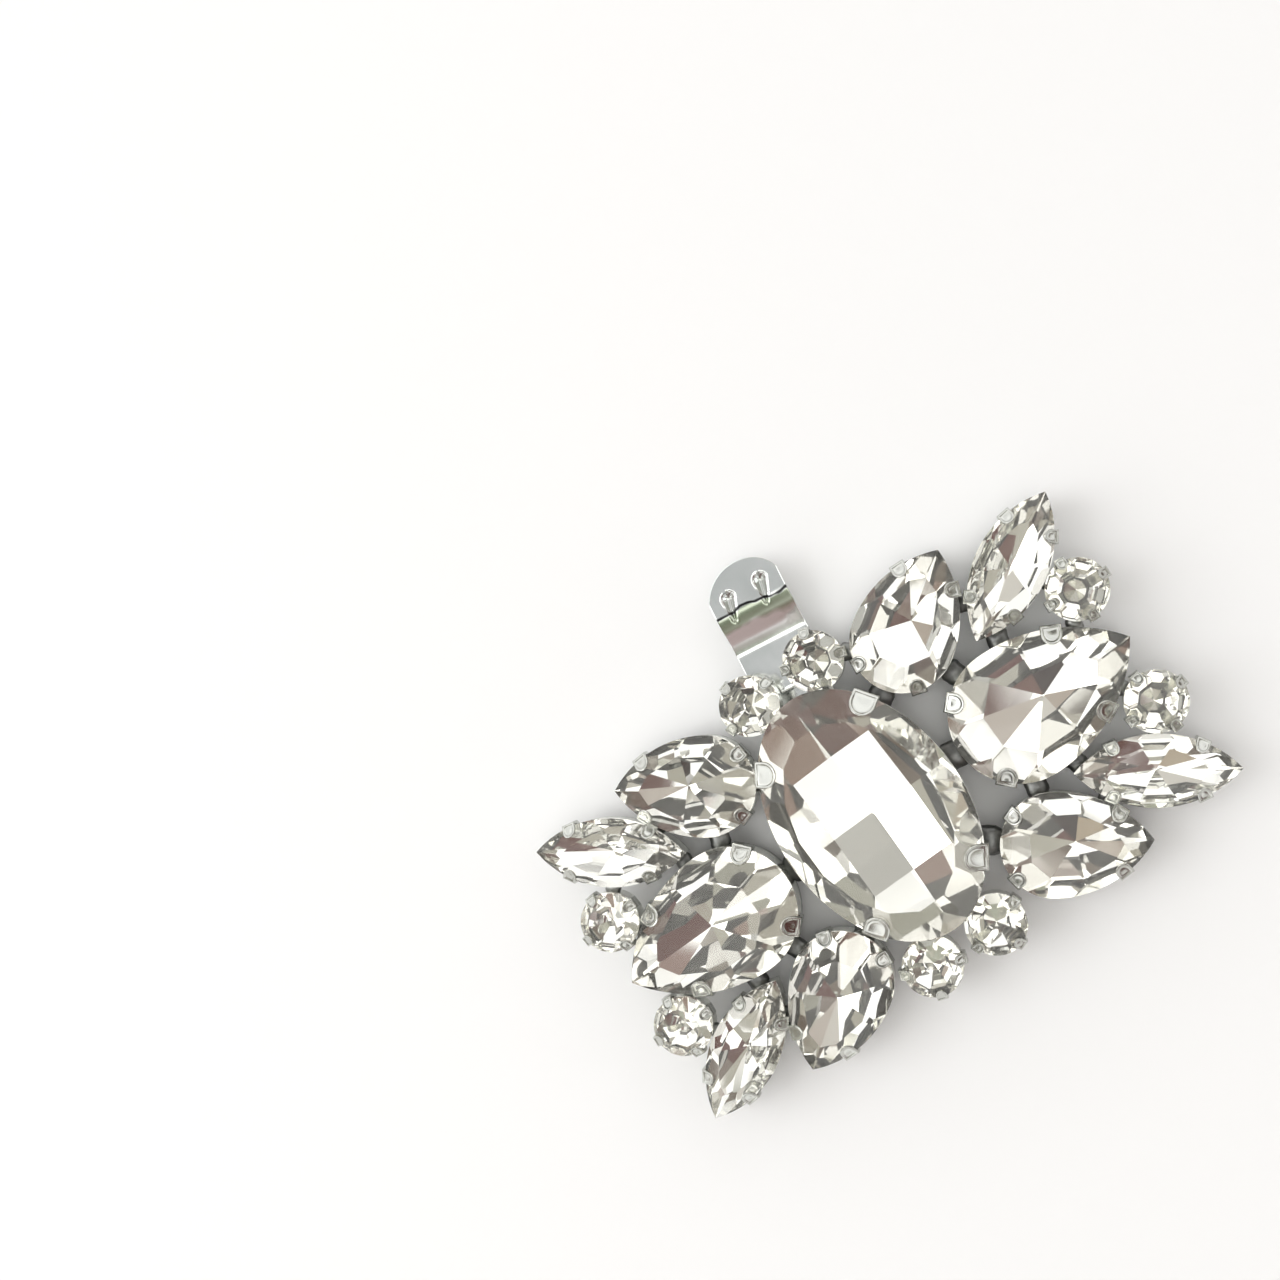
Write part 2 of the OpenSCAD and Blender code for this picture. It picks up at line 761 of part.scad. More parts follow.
// The hollow above a tooth, with a groove that runs from it towards the hinge
module tooth_hollow() {
    hull() {
        cylinder(h = 2 * sheet, r1 = 0, r2 = tooth_hollow_r, $fn = 32);
        translate([-groove_lean, -groove_len, sheet - groove_deep])
            cylinder(h = sheet + groove_deep, r1 = groove_r / 2, r2 = groove_r, $fn = 32);
    }
}

// Puts its children where a tooth is pressed, at the lever's lower face
module tooth_place(side) {
    at = skewed(side * tooth_gap / 2, lever_len - tooth_in);
    translate([at[0], at[1], lever_z(at[1])])
        children();
}

module lever() {
    color(SILVER)
        clip_place()
            translate([0, hinge_y, axis_z])
                difference() {
                    union() {
                        lever_sheet();
                        for (side = [-1, 1]) {
                            lever_flange(side);
                            tooth_place(side)
                                tooth();
                        }
                    }
                    for (side = [-1, 1])
                        tooth_place(side)
                            tooth_hollow();
                    translate([-lever_wid, 0, 0])
                        rotate([0, 90, 0])
                            cylinder(h = 2 * lever_wid, r = pin_r + pin_play, $fn = 48);
                }
}

for (s = STONES)
    stone(s);
settings();
hinge_pin();
lever();
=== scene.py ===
"""Looks of a jewelled shoe buckle: cut stones in claw settings on a toothed clip."""

import math

import bmesh
import bpy
from mathutils import Matrix, Vector, noise


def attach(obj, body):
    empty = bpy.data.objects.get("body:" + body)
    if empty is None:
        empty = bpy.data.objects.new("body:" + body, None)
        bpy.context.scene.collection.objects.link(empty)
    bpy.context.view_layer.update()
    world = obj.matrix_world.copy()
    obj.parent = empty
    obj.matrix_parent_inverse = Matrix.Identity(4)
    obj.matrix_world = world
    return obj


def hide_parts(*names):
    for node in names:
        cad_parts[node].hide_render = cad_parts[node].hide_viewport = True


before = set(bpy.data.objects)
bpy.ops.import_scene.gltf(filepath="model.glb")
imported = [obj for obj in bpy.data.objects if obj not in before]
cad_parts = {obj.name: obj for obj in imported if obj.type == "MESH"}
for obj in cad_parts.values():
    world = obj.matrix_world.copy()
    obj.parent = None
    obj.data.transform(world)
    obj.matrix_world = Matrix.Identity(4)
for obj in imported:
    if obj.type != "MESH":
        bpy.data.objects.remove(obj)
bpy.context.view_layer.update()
MM = 0.001


# ---------------------------------------------------------------- shader maths
class Sock:
    """A number socket that Python's operators can be used on."""

    def __init__(self, maker, socket):
        self.maker, self.socket = maker, socket

    def __add__(self, o):
        return self.maker.math("ADD", self, o)

    __radd__ = __add__

    def __sub__(self, o):
        return self.maker.math("SUBTRACT", self, o)

    def __rsub__(self, o):
        return self.maker.math("SUBTRACT", o, self)

    def __mul__(self, o):
        return self.maker.math("MULTIPLY", self, o)

    __rmul__ = __mul__

    def over(self, edge):
        """1 where this is above edge, else 0."""
        return self.maker.math("GREATER_THAN", self, edge)

    def under(self, edge):
        """1 where this is below edge, else 0."""
        return self.maker.math("LESS_THAN", self, edge)

    def clamp(self):
        return self.maker.math("ADD", self, 0.0, clamp=True)


class Finish:
    """Builds one node material, or the world, in a maker's words."""

    def __init__(self, owner):
        owner.use_nodes = True
        self.owner, self.tree = owner, owner.node_tree
        self.tree.nodes.clear()

    def node(self, kind, settings=None, **values):
        """A node. A value goes to the socket of its name, or to socket 0 where it is called i0."""
        n = self.tree.nodes.new(kind)
        for key, value in (settings or {}).items():
            setattr(n, key, value)
        for key, value in values.items():
            numbered = key[0] == "i" and key[1:].isdigit()
            self.put(n.inputs[int(key[1:]) if numbered else key.replace("_", " ")], value)
        return n

    def put(self, socket, value):
        if isinstance(value, Sock):
            value = value.socket
        if isinstance(value, bpy.types.NodeSocket):
            self.tree.links.new(value, socket)
        else:
            socket.default_value = value

    def math(self, op, a, b=0.0, clamp=False):
        n = self.node("ShaderNodeMath", {"operation": op, "use_clamp": clamp}, i0=a, i1=b)
        return Sock(self, n.outputs[0])

    def dot(self, a, b):
        n = self.node("ShaderNodeVectorMath", {"operation": "DOT_PRODUCT"}, i0=a, i1=b)
        return Sock(self, n.outputs["Value"])

    def place(self):
        return self.node("ShaderNodeTexCoord").outputs["Object"]

    def height(self):
        return Sock(self, self.node("ShaderNodeSeparateXYZ", Vector=self.place()).outputs["Z"])

    def grain(self, scale, detail=3.0, rough=0.5, where=None):
        n = self.node("ShaderNodeTexNoise", Vector=where or self.place(), Scale=scale,
                      Detail=detail, Roughness=rough)
        return Sock(self, n.outputs["Fac"])

    def blend(self, share, a, b):
        """Colour a, or b where share is 1."""
        n = self.node("ShaderNodeMix", {"data_type": "RGBA"}, i0=share, i6=a, i7=b)
        return n.outputs[2]

    def bump(self, height, strength):
        n = self.node("ShaderNodeBump", Height=height, Strength=strength, Distance=BUMP_DEPTH)
        return n.outputs[0]

    def gloss(self, **values):
        """Ends the material in one surface shader with these values."""
        shader = self.node("ShaderNodeBsdfPrincipled", **values)
        self.node("ShaderNodeOutputMaterial", Surface=shader.outputs[0])
        return self.owner


def gray(v, tint=(1.0, 1.0, 1.0)):
    return (v * tint[0], v * tint[1], v * tint[2], 1.0)


# ---------------------------------------------------------------- finishes
BUMP_DEPTH = 0.02 * MM
GLASS_IOR = 1.36
GLASS_TINTS = (0.972, 0.985, 0.955, 1), (0.992, 0.995, 0.98, 1)
FOIL_MIRROR = 0.86      # the rest of its light is scattered
FOIL_TINTS = (0.925, 0.908, 0.862, 1), (0.955, 0.943, 0.908, 1)
OLIVE = (0.99, 1.0, 0.94)
GREENISH = (0.96, 1.0, 0.965)
# The pink tint and the green colour below are painted reflections in the lever's bend.
PINKISH = (1.0, 0.965, 0.96)
PAINTED_GREEN_REFLECTION = (0.36, 0.40, 0.31, 1)
PAINTED_SHADE_FADE = 900.0    # per metre of height, how fast the painted shade comes in

# Where the clip lies in the object: turn in degrees, x and the hinge's distance in mm
CLIP_TURN, CLIP_X, HINGE_Y = -9, -1.8, 16.2
GRIP_BEND = 8.7         # from the hinge to the top of the lever's bend

# Painted reflections in bands before the top of the bend: width in mm and strength, and the dark
# line
BAND_WANDER = 1.6
PINK_BAND, PINK_SHARE = 4.0, 0.8
GREEN_BAND, GREEN_SHARE = 2.0, 0.95
LINE_AT, LINE_EDGE = 0.10, 4.0


def glass_crown():
    """Polished lead glass with faint green depth, a few wiped marks and fine scratches."""
    f = Finish(bpy.data.materials.new("glass_crown"))
    marks = f.grain(900, 2, 0.6).over(0.62)
    return f.gloss(Base_Color=f.blend(f.grain(220, 2), *GLASS_TINTS), Roughness=marks * 0.03,
                   IOR=GLASS_IOR, Normal=f.bump(f.grain(2600, 4, 0.7), 0.015),
                   Transmission_Weight=1.0)


def silver_foil():
    """Silvering on the pavilion, slightly clouded, so that it also scatters some light."""
    f = Finish(bpy.data.materials.new("silver_foil"))
    cloud = f.grain(420, 3, 0.55)
    return f.gloss(Base_Color=f.blend(cloud, *FOIL_TINTS), Metallic=FOIL_MIRROR,
                   Roughness=cloud * 0.03 + 0.015, Normal=f.bump(cloud, 0.01))


def plated_metal(name, bright, dark, painted_shade_below, rough):
    """Nickel-silver plating, brushed, with painted shade: dark low down between the stones."""
    f = Finish(bpy.data.materials.new(name))
    shade_and_rough_mottle = f.grain(650, 5, 0.65)
    # Painted shade: below the given height the colour goes dark, mottled by noise, where the
    # stones and cups shade each other. The same noise also varies the roughness.
    low = ((painted_shade_below - f.height()) * PAINTED_SHADE_FADE).clamp()
    share = (low * (shade_and_rough_mottle * 0.9 + 0.35)).clamp()
    return f.gloss(Base_Color=f.blend(share, bright, dark), Metallic=1.0,
                   Roughness=(shade_and_rough_mottle * 0.16 + rough - 0.06).clamp(),
                   Normal=f.bump(f.grain(5200, 3, 0.6), 0.12))


def clip_metal(name, bend=None):
    """Bright nickel sheet with rolling lines along the clip and faint wear. Before the top of a
    bend
    it has painted reflections: a pink band, a greenish band and a dark wavy line."""
    f = Finish(bpy.data.materials.new(name))
    turn = math.radians(-CLIP_TURN)
    lines = f.node("ShaderNodeMapping", Vector=f.place(), Scale=(1.0, 0.12, 1.0),
                   Rotation=(0, 0, turn)).outputs[0]
    rolled = f.grain(3800, 4, 0.7, where=lines)
    wear = f.grain(260, 3, 0.6)
    color = f.blend(wear, gray(0.80, GREENISH), gray(0.86))
    if bend is not None:
        # Painted reflections before the top of the bend: a pink band, a greenish band and a dark
        # wavy line, wandering with noise.
        start = bend + HINGE_Y + CLIP_X * math.sin(turn)
        along = f.dot(f.place(), (math.sin(turn), math.cos(turn), 0.0)) * 1000.0
        along = along + (f.grain(330, 2) - 0.5) * BAND_WANDER - start
        pink = (along + PINK_BAND).clamp() * (0.0 - along).clamp() * PINK_SHARE
        color = f.blend(pink, color, gray(0.72, PINKISH))
        green = ((along + GREEN_BAND) * 2.0).clamp() * (0.0 - along * 6.0).clamp() * GREEN_SHARE
        color = f.blend(green, color, PAINTED_GREEN_REFLECTION)
        line = (1.0 - f.math("ABSOLUTE", along - LINE_AT) * LINE_EDGE).clamp()
        color = f.blend((line * 3.0 * f.grain(420, 2)).clamp(), color, gray(0.02))
    return f.gloss(Base_Color=color, Metallic=1.0, Normal=f.bump(rolled, 0.06),
                   Roughness=(wear * 0.10 + rolled * 0.06 + 0.06).clamp())


def table_finish():
    """Matt pale board, very slightly cloudy."""
    f = Finish(bpy.data.materials.new("pale_table"))
    return f.gloss(Base_Color=f.blend(f.grain(8, 2), gray(0.90), gray(0.92)), Roughness=0.7)


GLASS = glass_crown()
FOIL = silver_foil()
# The dark colours, and the heights below which they come, are painted shade low on the cups, claws
# and solder, between the stones.
SETTING = plated_metal("setting_silver", gray(0.84, OLIVE), gray(0.06), 2.8 * MM, 0.24)
CLAW = plated_metal("claw_silver", gray(0.58, OLIVE), gray(0.30), 3.0 * MM, 0.16)
SOLDER = plated_metal("solder_dark", gray(0.50, OLIVE), gray(0.10), 5.0 * MM, 0.34)
CLIP = clip_metal("clip_nickel")
# The lever's nickel has painted reflections at its bend.
LEVER = clip_metal("lever_nickel", GRIP_BEND)


# ---------------------------------------------------------------- the stones' cuts and places
# Rings of facets: places, steepness against a cone from the girdle to the axis, and how far out
# they would meet the girdle's height
EIGHTHS, BETWEEN = (0, 45, 90, 135, 180), (22.5, 67.5, 112.5, 157.5)
QUARTERS = (45, 135)
SIXTEENTHS = (0, 22.5, 45, 67.5, 90, 112.5, 135, 157.5, 180)
BETWEEN_SIXTEENTHS = (11.25, 33.75, 56.25, 78.75, 101.25, 123.75, 146.25, 168.75)
BRILLIANT = (((EIGHTHS, 1, 1), (BETWEEN, 1.35, 1)), ((EIGHTHS, 1, 1), (BETWEEN, 1.2, 1)))
STAR = (((SIXTEENTHS, 1, 1), (BETWEEN_SIXTEENTHS, 1.15, 1)),
        ((QUARTERS, 0.735, 1.36), (BETWEEN, 1.38, 1), (EIGHTHS, 1.9, 1)))

# Cut, in mm: shape, length, width, crown, pavilion, girdle height, overhang over the cup, cup's
# back, claw places, claw width, table, rings of facets above and below the girdle
CORNERS = (45, 135, -45, -135)
CUTS = {
    "center": ("oval", 27.8, 19.0, 2.0, 4.6, 6.6, 0.9, 0.4, CORNERS, 2.7, 0.74, *STAR),
    "pear": ("pear", 19.8, 13.7, 2.1, 3.4, 5.3, 0.1, 1.3, CORNERS, 2.1, 0.6, *BRILLIANT),
    "drop": ("pear", 14.8, 10.5, 1.7, 2.7, 5.0, 0.1, 1.7, (34, 140, -34, -140), 1.6, 0.6,
             *BRILLIANT),
    "navette": ("navette", 15.9, 7.2, 1.4, 2.3, 4.9, 0.1, 2.0, CORNERS, 1.4, 0.6, *BRILLIANT),
    "outer": ("oval", 6.2, 6.2, 1.2, 2.3, 5.62, 0.1, 2.72, CORNERS, 1.1, 0.6, *BRILLIANT),
    "end": ("oval", 6.2, 6.2, 1.2, 2.3, 5.62, 0.1, 2.72, (-90, 0, 90), 1.1, 0.6, *BRILLIANT),
}
(SHAPE, LEN, WID, CROWN, PAV, GIRDLE_Z, LIP, BACK, PLACES, CLAW_W, TABLE, ABOVE,
 BELOW) = range(13)
GIRDLE, CULET_SHARE = 0.4, 0.012
STAR_REACH, STAR_STEEP = 1.1, 0.55      # against the table and the crown's mains
GRIND_MERGE, FOILED_BELOW = 0.004, -0.02        # in mm, and a facet's upward slope

# Stone: cut, x, y and turn in degrees
STONES = {
    "center_stone": ("center", -0.1, 0.2, 91),
    "pear_stone_right": ("pear", 20.45, 0.0, 0),
    "pear_stone_left": ("pear", -20.85, 0.0, 180),
    "drop_stone_back_right": ("drop", 14.208, 13.663, 33),
    "drop_stone_back_left": ("drop", -14.308, 13.263, 148),
    "drop_stone_front_right": ("drop", 14.608, -13.663, -31),
    "drop_stone_front_left": ("drop", -14.308, -13.363, -144),
    "navette_stone_back_right": ("navette", 25.118, 12.166, 30),
    "navette_stone_back_left": ("navette", -24.818, 12.266, 145),
    "navette_stone_front_right": ("navette", 25.018, -12.166, -33),
    "navette_stone_front_left": ("navette", -25.018, -12.266, -149),
    "outer_round_stone_back_right": ("outer", 28.95, 6.626, 41),
    "outer_round_stone_front_right": ("outer", 28.75, -6.526, -41),
    "outer_round_stone_back_left": ("outer", -28.90, 6.426, 139),
    "outer_round_stone_front_left": ("outer", -28.80, -6.626, -139),
    "end_round_stone_back_right": ("end", 4.05, 16.0, 72),
    "end_round_stone_back_left": ("end", -3.85, 16.1, 108),
    "end_round_stone_front_right": ("end", 3.65, -15.7, -72),
    "end_round_stone_front_left": ("end", -3.95, -15.7, -108),
}
NAMES = list(STONES)
# Neighbours with solder between their cups, by their row in the table above
SOLDERED = [(0, 1), (0, 2), (0, 3), (0, 4), (0, 5), (0, 6), (1, 3), (1, 5), (2, 4), (2, 6),
            (3, 7), (4, 8), (5, 9), (6, 10), (1, 7), (1, 9), (2, 8), (2, 10), (1, 11), (1, 12),
            (2, 13), (2, 14), (7, 11), (9, 12), (8, 13), (10, 14), (0, 15), (0, 16), (0, 17),
            (0, 18), (3, 15)]

# Points in an outline: round a large oval, a round stone, one side and a quarter of a pear's end
OVAL_POINTS, ROUND_POINTS, SIDE_POINTS, END_POINTS = 72, 40, 18, 16


def stone_cut(name):
    return CUTS[STONES[name][0]]


def stone_place(name):
    _, x, y, turn = STONES[name]
    return Matrix.Translation((x * MM, y * MM, 0)) @ Matrix.Rotation(math.radians(turn), 4, "Z")


def heading(az):
    return Vector((math.cos(math.radians(az)), math.sin(math.radians(az))))


def arc_radius(half, far):
    """Radius of the arc that is half wide of its chord's middle and ends far from there."""
    return (far * far + half * half) / (2 * half)


def halves(cut):
    """Half width, half length, and where the widest place is along the length."""
    half_wide, half_long = cut[WID] / 2, cut[LEN] / 2
    return half_wide, half_long, half_wide - half_long if cut[SHAPE] == "pear" else 0.0


def edge_point(cut, az, grow=0.0):
    """Point of the outline that faces az, in degrees, with the outline grown by grow."""
    r, far, x0 = halves(cut)
    d = heading(az)
    if cut[SHAPE] == "oval":
        g = math.hypot(far * d.x, r * d.y)
        return Vector((far * far * d.x / g, r * r * d.y / g)) + grow * d
    if cut[SHAPE] == "pear" and abs(az) > 90:
        return Vector((x0, 0)) + (r + grow) * d
    big = arc_radius(r, far - x0)
    return Vector((x0, 0)) + (big + grow) * d - Vector((0, math.copysign(big - r, az)))


def point_angle(cut):
    """Direction that a side faces where it runs into its point."""
    r, far, _ = halves(cut)
    return 90 - 2 * math.degrees(math.atan(r / (cut[LEN] - r if cut[SHAPE] == "pear" else far)))


def facing(cut, p):
    """Direction of the facet at place p, from 0 at the point to 180 at the other end."""
    if cut[SHAPE] == "oval":
        a = math.radians(p)
        return math.degrees(math.atan2(math.sin(a) / cut[WID], math.cos(a) / cut[LEN]))
    a = point_angle(cut)
    if cut[SHAPE] == "navette":
        return a + (180 - 2 * a) * p / 180
    return a + (90 - a) * p / 90 if p < 90 else p


def outline(cut, grow=0.0):
    """Closed outline, anticlockwise from its point, grown by grow."""
    if cut[SHAPE] == "oval":
        n = OVAL_POINTS if cut[LEN] > 10 else ROUND_POINTS
        pts = []
        for i in range(n):
            t = 2 * math.pi * i / n
            az = math.degrees(math.atan2(math.sin(t) * cut[LEN], math.cos(t) * cut[WID]))
            pts.append(edge_point(cut, az, grow))
        return pts
    r, far, x0 = halves(cut)
    pear = cut[SHAPE] == "pear"
    big = arc_radius(r, far - x0)
    start = 90 - math.degrees(math.acos((big - r) / (big + grow)))
    stop = 90 if pear else 180 - start
    side = [edge_point(cut, start + (stop - start) * i / SIDE_POINTS, grow)
            for i in range(SIDE_POINTS)]
    side[0].y = 0.0
    if pear:
        side += [Vector((x0, 0)) + (r + grow) * Vector((math.cos(a), math.sin(a)))
                 for a in (math.pi / 2 + math.pi * i / END_POINTS / 2 for i in range(END_POINTS))]
        end = [Vector((x0 - r - grow, 0))]
    else:
        end = [Vector((-side[0].x, 0))]
    return side + end + [Vector((p.x, -p.y)) for p in reversed(side[1:])]


# ---------------------------------------------------------------- making meshes
def new_object(name, mesh):
    obj = bpy.data.objects.new(name, mesh)
    bpy.context.scene.collection.objects.link(obj)
    return obj


def shade_smooth(mesh, sharp):
    """Smooth shading, with edges above sharp degrees left sharp."""
    mesh.polygons.foreach_set("use_smooth", [True] * len(mesh.polygons))
    mesh.set_sharp_from_angle(angle=math.radians(sharp))


def new_piece(name, bm, materials, sharp=None):
    """An object from bm, which is freed. It is smooth but for its edges above sharp degrees."""
    mesh = bpy.data.meshes.new(name)
    bm.to_mesh(mesh)
    bm.free()
    for material in materials:
        mesh.materials.append(material)
    if sharp is not None:
        shade_smooth(mesh, sharp)
    return new_object(name, mesh)


def face_outwards(bm):
    bmesh.ops.recalc_face_normals(bm, faces=bm.faces[:])


def set_down(bm, place):
    """Brings a shape that was made in millimetres to its place in metres."""
    bmesh.ops.transform(bm, matrix=place @ Matrix.Scale(MM, 4), verts=bm.verts[:])


def loft(bm, rings, close=True):
    """Skin over rings of points, capped at the first, and at the last where it is to close."""
    made = [[bm.verts.new(co) for co in ring] for ring in rings]
    n = len(made[0])
    for a, b in zip(made, made[1:]):
        for i in range(n):
            bm.faces.new((a[i], a[(i + 1) % n], b[(i + 1) % n], b[i]))
    bm.faces.new(list(reversed(made[0])))
    if close:
        bm.faces.new(made[-1])
    return made


def prism(bm, profile, axis, start, width):
    """A closed profile drawn out along an axis. A profile point is the other two coordinates."""
    def at(p, w):
        return {"X": (w, p[0], p[1]), "Y": (p[0], w, p[1]), "Z": (p[0], p[1], w)}[axis]
    loft(bm, [[at(p, start) for p in profile], [at(p, start + width) for p in profile]])


def plain_mesh(piece, name):
    """The evaluated piece as a plain mesh object, with its modifiers gone."""
    bpy.context.view_layer.update()
    graph = bpy.context.evaluated_depsgraph_get()
    mesh = bpy.data.meshes.new_from_object(piece.evaluated_get(graph), depsgraph=graph)
    done = new_object(name, mesh)
    bpy.data.objects.remove(piece)
    return done


def join_meshes(pieces, name, material, sharp):
    bm = bmesh.new()
    for piece in pieces:
        bm.from_mesh(piece.data)
        bpy.data.objects.remove(piece)
    for face in bm.faces:
        face.material_index = 0
    return new_piece(name, bm, (material,), sharp)


def round_edges(piece, width, angle=35):
    """Rounds the edges above angle degrees, by width mm."""
    bevel = piece.modifiers.new("edges", "BEVEL")
    bevel.width, bevel.segments = width * MM, 2
    bevel.limit_method, bevel.angle_limit = "ANGLE", math.radians(angle)
    return piece


# ---------------------------------------------------------------- stones
def cut_ring(bm, cut, points, places, share, z, rise, side):
    """Grinds one ring of flat facets, all of them aimed at one point on the stone's axis."""
    for p in places:
        middle = p == 180 or (p == 0 and cut[SHAPE] == "oval")
        for half in (1,) if middle else (1, -1):
            az = facing(cut, p) * half
            d = heading(az)
            s = max(point.dot(d) for point in points)
            normal = Vector((d.x * rise, d.y * rise, side * s)).normalized()
            at = d.to_3d() * (s * share) + Vector((0, 0, z))
            geom = bm.verts[:] + bm.edges[:] + bm.faces[:]
            res = bmesh.ops.bisect_plane(bm, geom=geom, dist=1e-5, plane_co=at, plane_no=normal,
                                         clear_outer=True)
            edges = [e for e in res["geom_cut"] if isinstance(e, bmesh.types.BMEdge)]
            if len(edges) > 2:
                bmesh.ops.edgeloop_fill(bm, edges=edges)


def cut_stone(name):
    """A stone as it is ground: table, stars, mains and breaks above the girdle, mains and
    breaks below it, down to a small culet."""
    cut = stone_cut(name)
    points = outline(cut)
    low, high = -cut[PAV] * (1 - CULET_SHARE), GIRDLE + cut[CROWN]
    bm = bmesh.new()
    loft(bm, [[(p.x, p.y, z) for p in points] for z in (low, high)])
    apex = cut[CROWN] / (1 - cut[TABLE])
    for places, steep, meet in cut[ABOVE]:
        cut_ring(bm, cut, points, places, meet, GIRDLE, apex * steep, 1)
    stars = cut[ABOVE][1][0]
    cut_ring(bm, cut, points, stars, cut[TABLE] * STAR_REACH, high, apex * STAR_STEEP, 1)
    for places, steep, meet in cut[BELOW]:
        cut_ring(bm, cut, points, places, meet, 0, cut[PAV] * steep, -1)
    bmesh.ops.remove_doubles(bm, verts=bm.verts[:], dist=GRIND_MERGE)
    face_outwards(bm)
    for face in bm.faces:
        face.material_index = 1 if face.normal.z < FOILED_BELOW else 0
    set_down(bm, stone_place(name) @ Matrix.Translation((0, 0, cut[GIRDLE_Z] * MM)))
    piece = new_piece("cut_" + name, bm, (GLASS, FOIL))
    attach(piece, "ornament")
    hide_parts(name)


# ---------------------------------------------------------------- settings
WALL, FLOOR, SEAT_GAP = 0.3, 0.4, 0.08
CUP_ROUND, ROUND_STEPS = 0.35, 4
BACK_DISH, DISH_EDGES = 0.10, (1.1, 0.9)
RIM_OUTSIDE, RIM_INSIDE = 0.08, 0.06

CLEAR, CLAW_T, CLAW_REACH = 0.06, 0.3, 0.75
LEG_FOOT, LEG_TAPER, LEG_SHELF, LEG_HEAD = 1.08, 0.5, 0.08, 0.1
ARCH_STEPS = 16
# Section of a claw's face from its edge inwards: inset and height over the crown, drawn for a
# claw of this half width
FACE_HALF = 0.95
CLAW_FACE = [(0.0, 0.0), (0.0, 0.19), (0.03, 0.26), (0.09, 0.31), (0.20, 0.32), (0.26, 0.29),
             (0.31, 0.21), (0.38, 0.18), (0.60, 0.20)]
DISH_MIDDLE, DISH_HEIGHT = 0.5, 0.25

# Solder: half sizes in mm along the gap, across it and upwards, height over the cups' floors,
# and how much it is drawn in and uneven
LUMP_ALONG, LUMP_ACROSS, LUMP_HIGH, LUMP_Z = 0.55, 0.62, 0.68, 0.62
LUMP_WAIST, WAIST_WIDE = 0.16, 0.4
LUMP_UNEVEN, UNEVEN_GRAIN, UNEVEN_SHIFT = 0.12, 1.7, 3.1


def rim_z(cut):
    """Height of a cup's rim, just under the stone's steepest facets."""
    steepest = max(steep for places, steep, meet in cut[BELOW])
    return cut[GIRDLE_Z] - (cut[LIP] + WALL) * 2 * steepest * cut[PAV] / cut[WID] - SEAT_GAP


def stamped_cups():
    """The stones' cups: stamped sheet with a rounded lower edge and a thin open rim."""
    bm = bmesh.new()
    for name in NAMES:
        cut = stone_cut(name)
        low, top, lip = cut[BACK], rim_z(cut), -cut[LIP]
        section = [(lip - DISH_EDGES[0], low + BACK_DISH), (lip - DISH_EDGES[1], low)]
        for i in range(ROUND_STEPS + 1):
            a = math.pi / 2 * i / ROUND_STEPS
            section.append((lip - CUP_ROUND * (1 - math.sin(a)),
                            low + CUP_ROUND * (1 - math.cos(a))))
        section += [(lip, top - RIM_OUTSIDE), (lip - RIM_OUTSIDE, top),
                    (lip - WALL + RIM_INSIDE, top), (lip - WALL, top - RIM_INSIDE),
                    (lip - WALL, low + FLOOR)]
        part = bmesh.new()
        loft(part, [[(p.x, p.y, z) for p in outline(cut, grow)] for grow, z in section])
        face_outwards(part)
        set_down(part, stone_place(name))
        mesh = bpy.data.meshes.new("cup")
        part.to_mesh(mesh)
        part.free()
        bm.from_mesh(mesh)
        bpy.data.meshes.remove(mesh)
    return new_piece("stamped_cups", bm, (SETTING,), sharp=40)


def arch(half, over, inset):
    """Outline of a claw's face seen from above, drawn in by inset: square where it comes up
    over the girdle, round where it ends on the crown."""
    out, r = CLEAR + CLAW_T - inset, half - inset
    pts = [(out, -r), (out, r)]
    for i in range(ARCH_STEPS + 1):
        a = math.pi / 2 + math.pi * i / ARCH_STEPS
        pts.append((half - over + r * math.cos(a), r * math.sin(a)))
    return pts


def claw_blank(cut, p):
    """One claw, with x out from the stone's edge: a leg up the cup and an arched face that is
    pressed flat on the crown, with a raised rim round a shallow dish."""
    az = facing(cut, abs(p))
    out = edge_point(cut, az).dot(heading(az))
    slope = math.tan(math.atan2(cut[CROWN] / (1 - cut[TABLE]), out))
    half, over = cut[CLAW_W] / 2, cut[CLAW_W] * CLAW_REACH
    small = min(1.0, half / FACE_HALF)
    base = cut[GIRDLE_Z] + GIRDLE + CLEAR
    bm = bmesh.new()
    rings = [[(x, y, base + h - x * slope) for x, y in arch(half, over, inset * small)]
             for inset, h in CLAW_FACE]
    last = loft(bm, rings, close=False)[-1]
    x = (half - over) * DISH_MIDDLE
    middle = bm.verts.new((x, 0.0, base + DISH_HEIGHT - x * slope))
    for i in range(len(last)):
        bm.faces.new((last[i], last[(i + 1) % len(last)], middle))
    outside, shelf = CLEAR + CLAW_T, rim_z(cut) - LEG_SHELF
    root, foot = -cut[LIP] - WALL / 2, rim_z(cut) - LEG_FOOT
    head = base + LEG_HEAD - outside * slope
    prism(bm, [(root, foot), (-cut[LIP], foot), (outside, foot + LEG_TAPER), (outside, head),
               (CLEAR, head), (CLEAR, shelf), (root, shelf)], "Y", -half, 2 * half)
    face_outwards(bm)
    set_down(bm, Matrix())
    return new_piece("claw_blank", bm, (CLAW,), sharp=60), az


